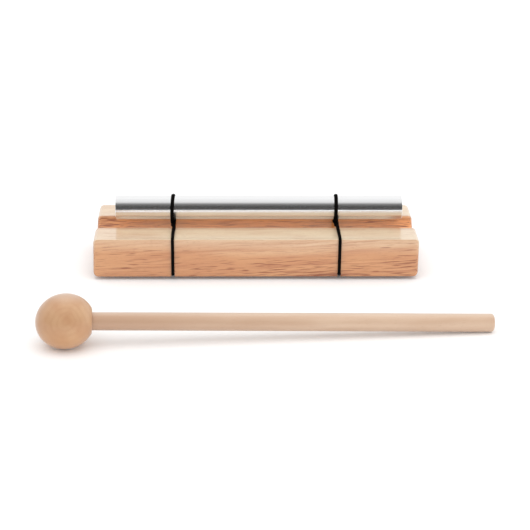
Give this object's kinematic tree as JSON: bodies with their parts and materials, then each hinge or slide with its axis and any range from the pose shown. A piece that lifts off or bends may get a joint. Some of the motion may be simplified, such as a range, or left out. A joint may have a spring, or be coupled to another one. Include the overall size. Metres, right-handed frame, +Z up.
{
  "type": "energy chime",
  "caption": "Table-top solo chime: a solid metal rod floats on elastic loops over a channelled wooden base and is struck with a ball-headed wooden mallet.",
  "frame": {"origin": "middle of the base block's underside, on the surface that the chime and its mallet rest on", "axes": "+X along the rod and the base, to the right as seen from the front; -Y towards the front, where the mallet lies; +Z up"},
  "size_m": [0.2574, 0.1783, 0.0431],
  "materials": {
    "base_wood": "clear satin varnish",
    "rod_aluminium": "drawn, lightly polished",
    "black_elastic": "round braided elastic",
    "mallet_wood": "turned and sanded, thin oil"
  },
  "bodies": {
    "base": {"base_block": "base_wood"},
    "cords": {"elastic_cord_left": "black_elastic", "elastic_cord_right": "black_elastic"},
    "rod": {"chime_rod": "rod_aluminium"},
    "mallet": {"mallet_head": "mallet_wood", "mallet_stick": "mallet_wood"}
  },
  "joints": [
    {"name": "rod_bounce", "type": "slide", "parent": "base", "child": "cords", "axis": [0, 0, 1], "range_m": [-0.005, 0.008], "stiffness_N_per_m": 500, "springref_m": 0.00174, "deforming": ["elastic_cord_left", "elastic_cord_right"]},
    {"name": "rod_turn", "type": "hinge", "parent": "cords", "child": "rod", "pos_m": [0.0022, 0, 0.0339], "axis": [1, 0, 0], "continuous": true},
    {"name": "mallet_lift", "type": "slide", "parent": "base", "child": "mallet", "axis": [0, 0, 1], "range_m": [0, 0.1]}
  ]
}
